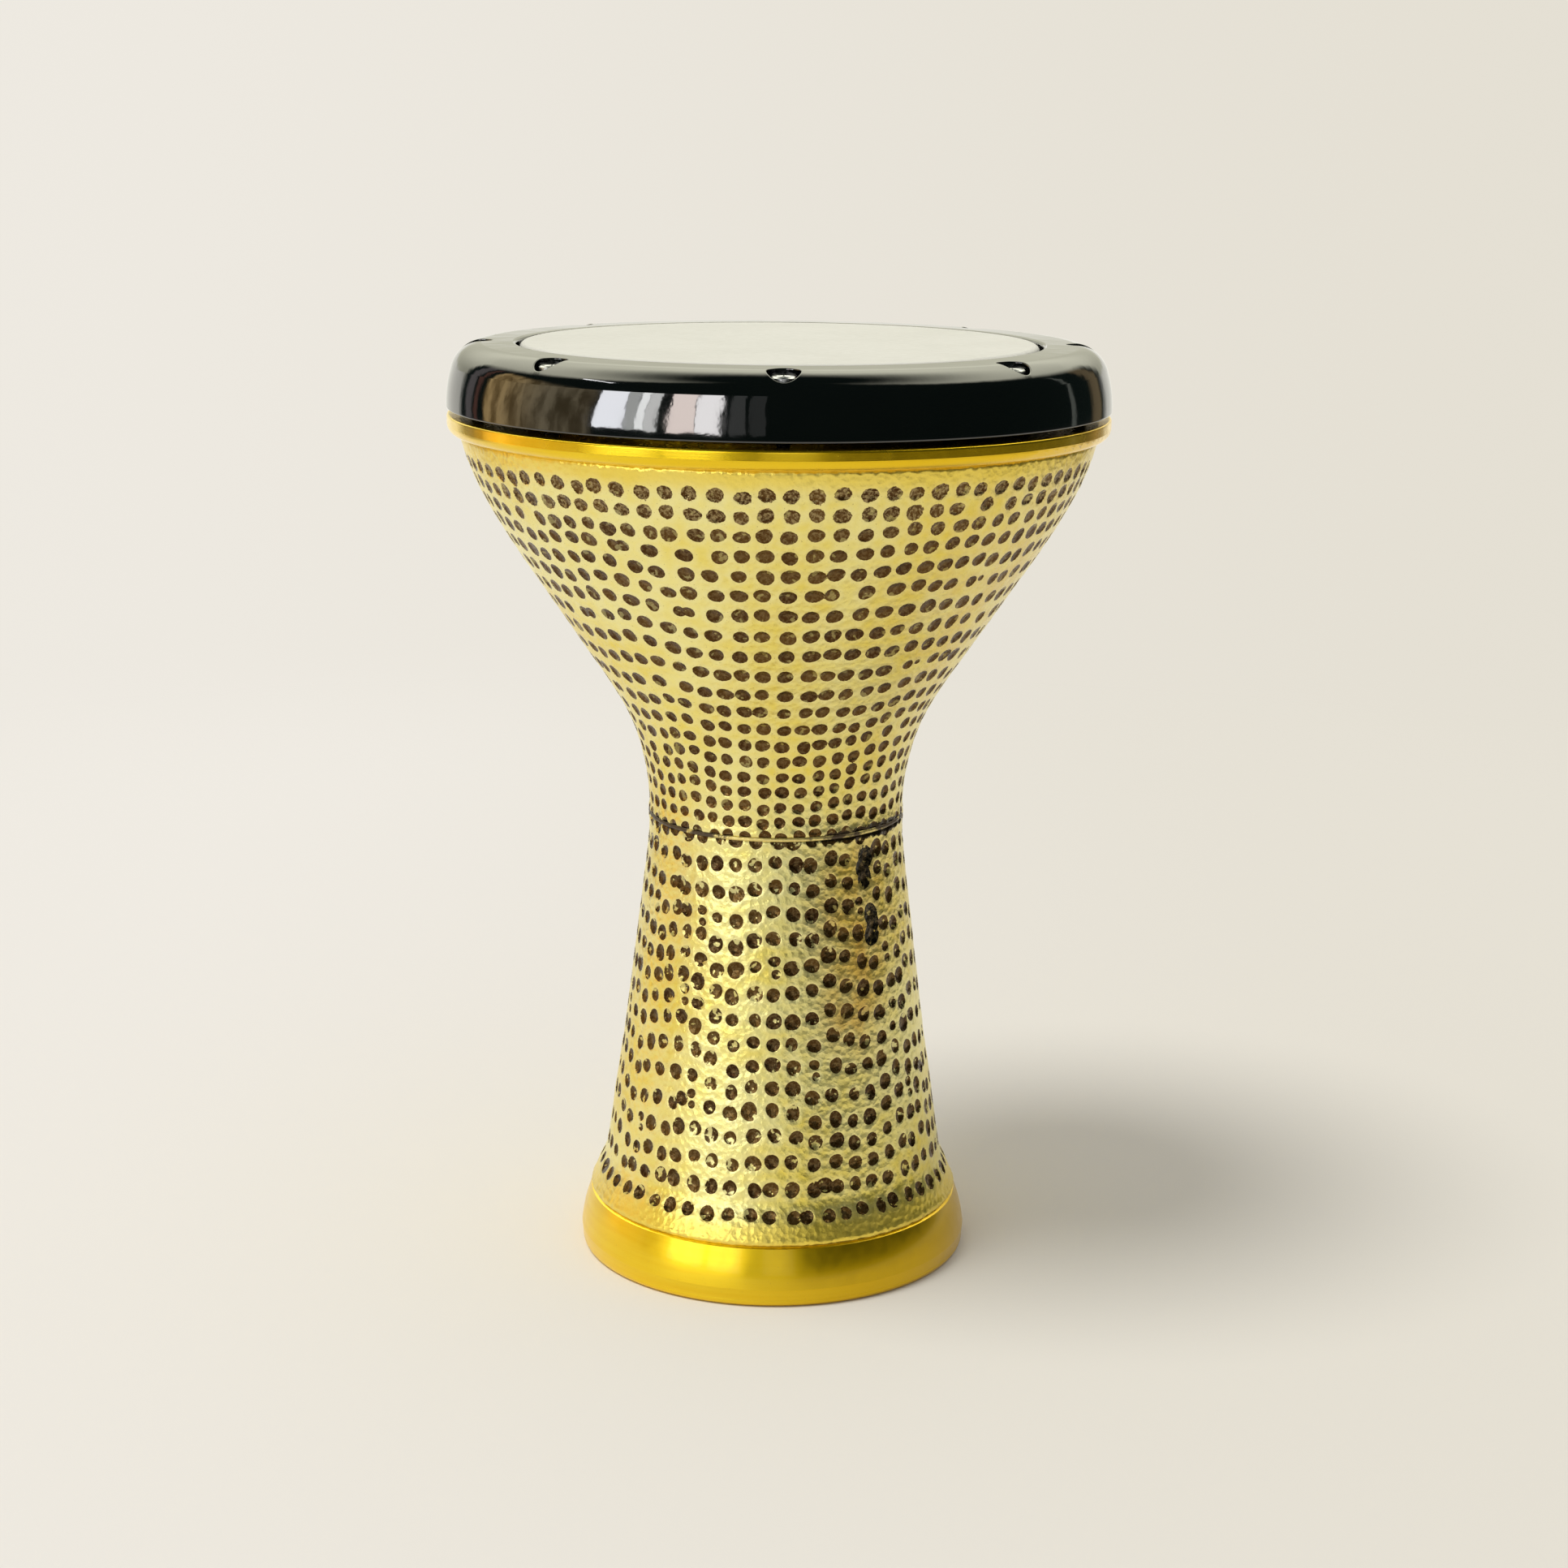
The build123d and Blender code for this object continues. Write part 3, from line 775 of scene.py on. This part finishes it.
# How far below the head's top, and in from its side, the points of its rounded edge lie.
HEAD_ROUNDING = ((0.6 * MM, 0.05 * MM), (0.2 * MM, 0.35 * MM), (0, 0.6 * MM))
KEY_R, KEY_DEPTH, KEY_CONE = 2.5 * MM, 3 * MM, 0.4 * MM
KEY_MOUTH, KEY_CHAMFER = 0.7 * MM, 0.35 * MM
SHANK_R, PLAIN_SHANK = 3 * MM, 1.5 * MM
UNDERCUT, UNDERCUT_H = 0.1 * MM, 0.4 * MM
THREAD_DEPTH, THREAD_PITCH, THREAD_ROWS = 0.55 * MM, 1 * MM, 132
TIP_CHAMFER = 0.9 * MM
# The smallest ring, that closes off the tip and the socket's floor.
MIDDLE_R = 0.2 * MM
SHARP_EDGE = math.radians(35)


def even_ring(radius):
    return np.full(SCREW_AROUND, radius)


def knurled_ring(radius):
    return radius - KNURL_DEPTH * (np.arange(SCREW_AROUND) % 2)


def hex_ring(radius):
    """A hexagon whose flats are this far from the middle."""
    turn = TURN * np.arange(SCREW_AROUND) / SCREW_AROUND
    return radius / np.cos((turn + TURN / 12) % (TURN / 6) - TURN / 12)


def thread_rings(tip, under):
    """Rings up the shank whose radius follows a helical thread that fades out at both ends."""
    turn = np.arange(SCREW_AROUND) / SCREW_AROUND
    top = under - PLAIN_SHANK
    for z in np.linspace(tip + TIP_CHAMFER, top, THREAD_ROWS):
        ease = min(1, (z - tip) / (2 * MM), (top - z) / (1 * MM) + 0.1)
        groove = 1 - np.abs(2 * ((z / THREAD_PITCH - turn) % 1) - 1)
        yield z, SHANK_R - THREAD_DEPTH * ease * groove


def screw_rings(tip, top):
    """Heights and radii of a socket head screw from its tip, over its head, down to the socket's floor."""
    under, floor = top - HEAD_H, top - KEY_DEPTH
    rings = [(tip, even_ring(MIDDLE_R)), (tip, even_ring(SHANK_R - TIP_CHAMFER))]
    rings += thread_rings(tip, under)
    rings += [(under - UNDERCUT_H, even_ring(SHANK_R - UNDERCUT)), (under, even_ring(SHANK_R))]
    rings += [(under, even_ring(HEAD_R - HEAD_CHAMFER)), (under + HEAD_CHAMFER, knurled_ring(HEAD_R))]
    rings += [(top - KNURL_GAP, knurled_ring(HEAD_R))]
    rings += [(top - down, even_ring(HEAD_R - inward)) for down, inward in HEAD_ROUNDING]
    rings += [(top, even_ring(KEY_R + KEY_MOUTH)), (top - KEY_CHAMFER, hex_ring(KEY_R))]
    rings += [(floor, hex_ring(KEY_R)), (floor - KEY_CONE, even_ring(MIDDLE_R))]
    return rings


def socket_screw(node, body, material):
    """A knurled socket head screw with a cut thread, in the place of its plain CAD solid."""
    low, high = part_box(node)
    x, y = (low[0] + high[0]) / 2, (low[1] + high[1]) / 2
    rings = screw_rings(low[2], high[2])
    turn = TURN * np.arange(SCREW_AROUND) / SCREW_AROUND
    points = [
        np.stack([x + r * np.cos(turn), y + r * np.sin(turn), np.full_like(turn, z)], 1)
        for z, r in rings
    ]
    rows = numbered_rows(len(rings), SCREW_AROUND)
    faces = [rows[0][::-1], rows[-1]]
    for lower, upper in zip(rows, rows[1:]):
        faces += ring_strip(lower, upper)
    piece = new_piece(f"{node}_cut", np.concatenate(points), faces, material, body)
    piece.data.set_sharp_from_angle(angle=SHARP_EDGE)
    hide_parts(node)


# ---------------------------------------------------------------- the drum


def dress(node, material):
    """Gives a CAD node that stays as it is its material."""
    piece = frame["nodes"][node]
    piece.data.materials.clear()
    piece.data.materials.append(material)


def make_shells():
    spacing_bowl, spacing_stem = 2.0 * MM, 1.7 * MM
    pale, deep = colour(0.97, 0.88, 0.34), colour(0.92, 0.74, 0.11)
    bowl_browns = colour(0.060, 0.023, 0.003), colour(0.118, 0.056, 0.010)
    stem_browns = colour(0.040, 0.015, 0.002), colour(0.105, 0.053, 0.010)
    gold_bowl = hammered_gold("hammered_gold_bowl", pale, deep, *bowl_browns, 0.25)
    gold_stem = hammered_gold("hammered_gold_stem", pale, deep, *stem_browns, 0.75)
    bowl, stem = bowl_marks(Wall("bowl_shell")), stem_marks(Wall("stem_shell"))
    hammered_shell("bowl_shell", "bowl_hammered", bowl.table(), spacing_bowl, gold_bowl)
    hammered_shell("stem_shell", "stem_hammered", stem.table(), spacing_stem, gold_stem)


def make_smooth_parts():
    pale, deep = colour(0.98, 0.70, 0.025), colour(0.92, 0.61, 0.008)
    # The third colour of each is painted shade, for the right side.
    collar_gold = smooth_gold("collar_gold", pale, deep, colour(0.90, 0.58, 0.006), 0.2, 0.28)
    foot_gold = smooth_gold("foot_gold", pale, deep, colour(0.66, 0.42, 0.002), 0.28, 0.36)
    hoop = machined_metal("hoop_metal", colour(0.8, 0.8, 0.8), colour(0.6, 0.6, 0.6), 0.2, 0.35)
    dress("collar_ring", collar_gold)
    dress("foot_ring", foot_gold)
    dress("neck_weld_bead", seam_filler("seam_filler"))
    dress("tension_rim", gloss_black("gloss_black"))
    dress("drumhead_film", film_white("film_white"))
    dress("drumhead_hoop", hoop)
    dress("drumhead_resin", cast_resin("cast_resin"))


def make_screws():
    # Dark colours painted on the shanks as shade in the gap under the rim.
    shank_shade = colour(0.05, 0.045, 0.04), colour(0.02, 0.018, 0.016)
    screw_zinc = colour(0.66, 0.67, 0.69), colour(0.48, 0.49, 0.51)
    washer_zinc = colour(0.60, 0.61, 0.63), colour(0.42, 0.43, 0.45)
    steel = machined_metal("screw_steel", *screw_zinc, 0.24, 0.42, shank_shade)
    zinc = machined_metal("zinc_washer", *washer_zinc, 0.24, 0.42)
    for number in range(1, 9):
        socket_screw(f"tension_screw_{number}", f"screw_{number}", steel)
        dress(f"screw_washer_{number}", zinc)


# ---------------------------------------------------------------- studio

# The camera's place, in metres, and how it is turned, tilted and rolled.
EYE = Vector((-0.0148, -1.2149, 0.4975))
EYE_TURN, EYE_TILT, EYE_ROLL = math.radians(-0.86), math.radians(90 - 13.4), 0.0092
LENS, SENSOR = 65.78, 36

# The paper's colour on the left and the right: painted light, lighter on the left as if lit more from that
# side.
PAPER_LEFT, PAPER_RIGHT = colour(0.855, 0.82, 0.755), colour(0.78, 0.742, 0.655)
PAPER_SPREAD, SKY_SPREAD = 0.42, 0.3
FLOOR_HALF, FLOOR_FADE = 1.6, (0.9, 1.5)

SOFT_LIGHT, SUN_LIGHT, WINDOW_LIGHT, GOLD_LIGHT = 0.55, 1.6, 9.0, 2.8
SUN_ALONG, SUN_WIDTH = (0.355, 0.185, -0.915), math.radians(24)
PANEL_DISTANCE = 2.6
WINDOW_BOTTOM, WINDOW_TOP, GLOW_BOTTOM = 0.33, 1.8, 0.1
LAMP_LEFT, LAMP_RIGHT, LAMP_BOTTOM, LAMP_TOP = -92, -74, 2.95, 3.1

# Upright strips of light: left and right in degrees from the front, brightness, and tint.
WINDOW_STRIPS = (
    (-64.0, -53.0, 1.0, (0.94, 0.95, 1.0)),
    (-52.7, -48.2, 0.38, (0.93, 0.95, 0.92)),
    (-48.0, -45.0, 0.95, (0.97, 0.98, 0.97)),
    (-44.8, -41.4, 0.6, (0.98, 0.98, 0.96)),
    (-37.4, -28.0, 0.85, (1.0, 0.86, 0.80)),
    (-27.6, -19.6, 0.95, (1.0, 0.97, 0.97)),
    (-16.5, -11.5, 0.035, (1.0, 1.0, 0.98)),
    (-9.5, -5.0, 0.02, (1.0, 1.0, 0.98)),
)
# Broad panels: left and right in degrees from the front, and brightness.
GLOWS = ((-64, -42, 1.0), (-38, -19, 0.9), (-6, 12, 0.35))
GLOW_TINT = (1.0, 0.99, 0.95)

# Upright things at the room's sides. Each fades in from its first angle to its second, in degrees from
# the front, and out from its third to its fourth. Its colour follows.
ROOM_UPRIGHTS = (
    ((-136, -134, -130, -128.5), colour(0.30, 0.27, 0.27)),
    ((-128, -127, -125.5, -124), colour(0.28, 0.13, 0.10)),
    ((116.5, 118, 119, 120.5), colour(0.36, 0.39, 0.34)),
    ((131, 137, 141, 146), colour(0.33, 0.25, 0.14)),
)


def side_gradient(g, direction):
    """The backdrop's slow change of colour from left to right, lighter on the left: painted light, the same
    as on the floor.
    """
    flat = g.add("ShaderNodeVectorMath", {"operation": "MULTIPLY"})
    g.feed(flat.inputs[0], direction)
    g.feed(flat.inputs[1], (1, 1, 0))
    unit = g.add("ShaderNodeVectorMath", {"operation": "NORMALIZE"})
    g.feed(unit.inputs[0], flat.outputs["Vector"])
    across = g.add("ShaderNodeSeparateXYZ", None, Vector=unit.outputs["Vector"]).outputs["X"]
    return g.mix(g.ramp(across, -SKY_SPREAD, SKY_SPREAD), PAPER_LEFT, PAPER_RIGHT)


def make_floor():
    """A sheet of paper that fades out far from the drum, painted lighter on the left as if lit more from
    that side.
    """
    mesh = bpy.data.meshes.new("floor")
    signs = ((-1, -1), (1, -1), (1, 1), (-1, 1))
    mesh.from_pydata([(x * FLOOR_HALF, y * FLOOR_HALF, 0) for x, y in signs], [], [(0, 1, 2, 3)])
    floor = bpy.data.objects.new("floor", mesh)
    bpy.context.scene.collection.objects.link(floor)
    material = bpy.data.materials.new("floor_paper")
    material.use_nodes = True
    g = Graph(material.node_tree)
    g.nodes.clear()
    paper = g.mix(g.ramp(g.place_along("X"), -PAPER_SPREAD, PAPER_SPREAD), PAPER_LEFT, PAPER_RIGHT)
    diffuse = g.add("ShaderNodeBsdfDiffuse", None, Color=paper)
    clear = g.add("ShaderNodeBsdfTransparent")
    far = g.add("ShaderNodeVectorMath", {"operation": "LENGTH"})
    g.feed(far.inputs[0], g.place())
    fade = g.add("ShaderNodeMixShader", None, Fac=g.ramp(far.outputs["Value"], *FLOOR_FADE))
    g.feed(fade.inputs[1], diffuse.outputs["BSDF"])
    g.feed(fade.inputs[2], clear.outputs["BSDF"])
    g.add("ShaderNodeOutputMaterial", None, Surface=fade.outputs["Shader"])
    mesh.materials.append(material)


def between(g, value, start, full, fading, end):
    """1 where the value lies from full to fading, going to 0 at start and end."""
    return g.math("MULTIPLY", g.ramp(value, start, full), g.ramp(value, end, fading))


def brown_wall(g, direction, around):
    """The colour of the wall on the left: streaked brown, brighter at its far end."""
    tall = g.stretched(direction, 1.0, 1.0, 0.2)
    streaks = g.ramp(g.noise(11.0, 4.0, 0.6, tall), 0.35, 0.65)
    brown = g.mix(streaks, colour(0.30, 0.22, 0.11), colour(1.0, 0.82, 0.52))
    return g.mix(g.ramp(around, -85, -118), brown, colour(1.9, 1.6, 1.1), "MULTIPLY")


def bright_wall(g, height):
    """The colour of the wall behind the drum, which grows brighter with height."""
    wall = g.mix(g.ramp(height, 2.5, 5.5), colour(1.05, 1.03, 0.93), colour(0.78, 0.765, 0.60))
    wall = g.mix(g.ramp(height, 6, 27), wall, colour(1.85, 1.82, 1.45))
    return g.mix(g.ramp(height, 27, 45), wall, colour(2.7, 2.65, 2.1))


def room(g, direction):
    """What polished surfaces mirror: a dim room with a brown wall on the left and a bright one behind."""
    parts = g.add("ShaderNodeSeparateXYZ", None, Vector=direction)
    to_front = g.math("MULTIPLY", parts.outputs["Y"], -1.0)
    around = g.math("DEGREES", g.math("ARCTAN2", parts.outputs["X"], to_front))
    height = g.math("DEGREES", g.math("ARCSINE", parts.outputs["Z"]))
    light = g.mix(g.ramp(height, -3, -14), colour(0.016, 0.026, 0.023), colour(0.25, 0.23, 0.2))
    side_height = between(g, height, -36, -28, 24, 30)
    brown_share = g.math("MULTIPLY", between(g, around, -122, -119, -69, -65), side_height)
    light = g.mix(brown_share, light, brown_wall(g, direction, around))
    for angles, tint in ROOM_UPRIGHTS:
        light = g.mix(g.math("MULTIPLY", between(g, around, *angles), side_height), light, tint)
    behind = g.math("MAXIMUM", g.ramp(around, -138, -143), g.ramp(around, 144, 153))
    sideways = g.math("MULTIPLY", g.math("ABSOLUTE", around), 0.5)
    overhead = g.ramp(g.math("ADD", height, sideways), 89, 99)
    behind = g.math("MULTIPLY", g.math("MAXIMUM", behind, overhead), g.ramp(height, 76, 46))
    return g.mix(behind, light, bright_wall(g, height))


def make_world():
    """Paper behind the drum for the camera, the room for reflections, and even light for all else."""
    world = bpy.data.worlds.new("studio")
    bpy.context.scene.world = world
    world.use_nodes = True
    world.cycles.sampling_method = "NONE"
    g = Graph(world.node_tree)
    g.nodes.clear()
    direction = g.add("ShaderNodeTexCoord").outputs["Generated"]
    ray = g.add("ShaderNodeLightPath").outputs
    even = g.mix(ray["Is Glossy Ray"], colour(SOFT_LIGHT, SOFT_LIGHT, SOFT_LIGHT), room(g, direction))
    light = g.mix(ray["Is Camera Ray"], even, side_gradient(g, direction))
    background = g.add("ShaderNodeBackground", None, Color=light)
    g.add("ShaderNodeOutputWorld", None, Surface=background.outputs["Background"])


def aimed(direction):
    """The rotation that turns a lamp to shine along a direction."""
    return Vector(direction).to_track_quat("-Z", "Y").to_euler()


def make_sun():
    """A broad sun for the soft shadow. It stays out of reflections."""
    data = bpy.data.lights.new("key", "SUN")
    data.energy = SUN_LIGHT
    data.angle = SUN_WIDTH
    sun = bpy.data.objects.new("key", data)
    bpy.context.scene.collection.objects.link(sun)
    sun.rotation_euler = aimed(SUN_ALONG)
    sun.visible_glossy = False


def panel(name, left, right, bottom, top, radiance, tint=(1.0, 1.0, 1.0)):
    """An upright panel that only shows in reflections. Left and right are in degrees from the front."""
    middle = math.radians((left + right) / 2)
    data = bpy.data.lights.new(name, "AREA")
    data.shape = "RECTANGLE"
    data.size = 2 * PANEL_DISTANCE * math.tan(math.radians((right - left) / 2))
    data.size_y = top - bottom
    data.energy = radiance * math.pi * data.size * data.size_y
    data.color = tint
    lamp = bpy.data.objects.new(name, data)
    bpy.context.scene.collection.objects.link(lamp)
    x, y = PANEL_DISTANCE * math.sin(middle), -PANEL_DISTANCE * math.cos(middle)
    lamp.location = (x, y, (top + bottom) / 2)
    lamp.rotation_euler = aimed((-math.sin(middle), math.cos(middle), 0))
    lamp.visible_camera = False
    lamp.visible_diffuse = False
    return lamp


def make_windows():
    """Curtained windows and a lamp for the lacquer to mirror, and broad panels for the gold's gloss."""
    lacquered = bpy.data.collections.new("lacquered")
    lacquered.objects.link(frame["nodes"]["tension_rim"])
    for number, (left, right, share, tint) in enumerate(WINDOW_STRIPS, start=1):
        name, radiance = f"window_strip_{number}", WINDOW_LIGHT * share
        strip = panel(name, left, right, WINDOW_BOTTOM, WINDOW_TOP, radiance, tint)
        strip.light_linking.receiver_collection = lacquered
    lamp = panel("ceiling_lamp", LAMP_LEFT, LAMP_RIGHT, LAMP_BOTTOM, LAMP_TOP, WINDOW_LIGHT)
    lamp.light_linking.receiver_collection = lacquered
    golden = bpy.data.collections.new("golden")
    for piece in bpy.context.scene.objects:
        if piece.type == "MESH" and piece.name != "floor" and piece != frame["nodes"]["tension_rim"]:
            golden.objects.link(piece)
    for left, right, share in GLOWS:
        name, radiance = f"window_glow_{-left}", GOLD_LIGHT * share
        glow = panel(name, left, right, GLOW_BOTTOM, WINDOW_TOP, radiance, GLOW_TINT)
        glow.light_linking.receiver_collection = golden


def make_camera():
    data = bpy.data.cameras.new("view")
    data.lens, data.sensor_width = LENS, SENSOR
    camera = bpy.data.objects.new("view", data)
    bpy.context.scene.collection.objects.link(camera)
    turn = Matrix.Rotation(EYE_TURN, 3, "Z")
    tilt = Matrix.Rotation(EYE_TILT, 3, "X")
    roll = Matrix.Rotation(EYE_ROLL, 3, "Z")
    camera.location = EYE
    camera.rotation_euler = (turn @ tilt @ roll).to_euler()
    bpy.context.scene.camera = camera


make_shells()
make_smooth_parts()
make_screws()
make_floor()
make_world()
make_sun()
make_windows()
make_camera()
bpy.context.scene.view_settings.view_transform = "Standard"

bpy.context.view_layer.update()
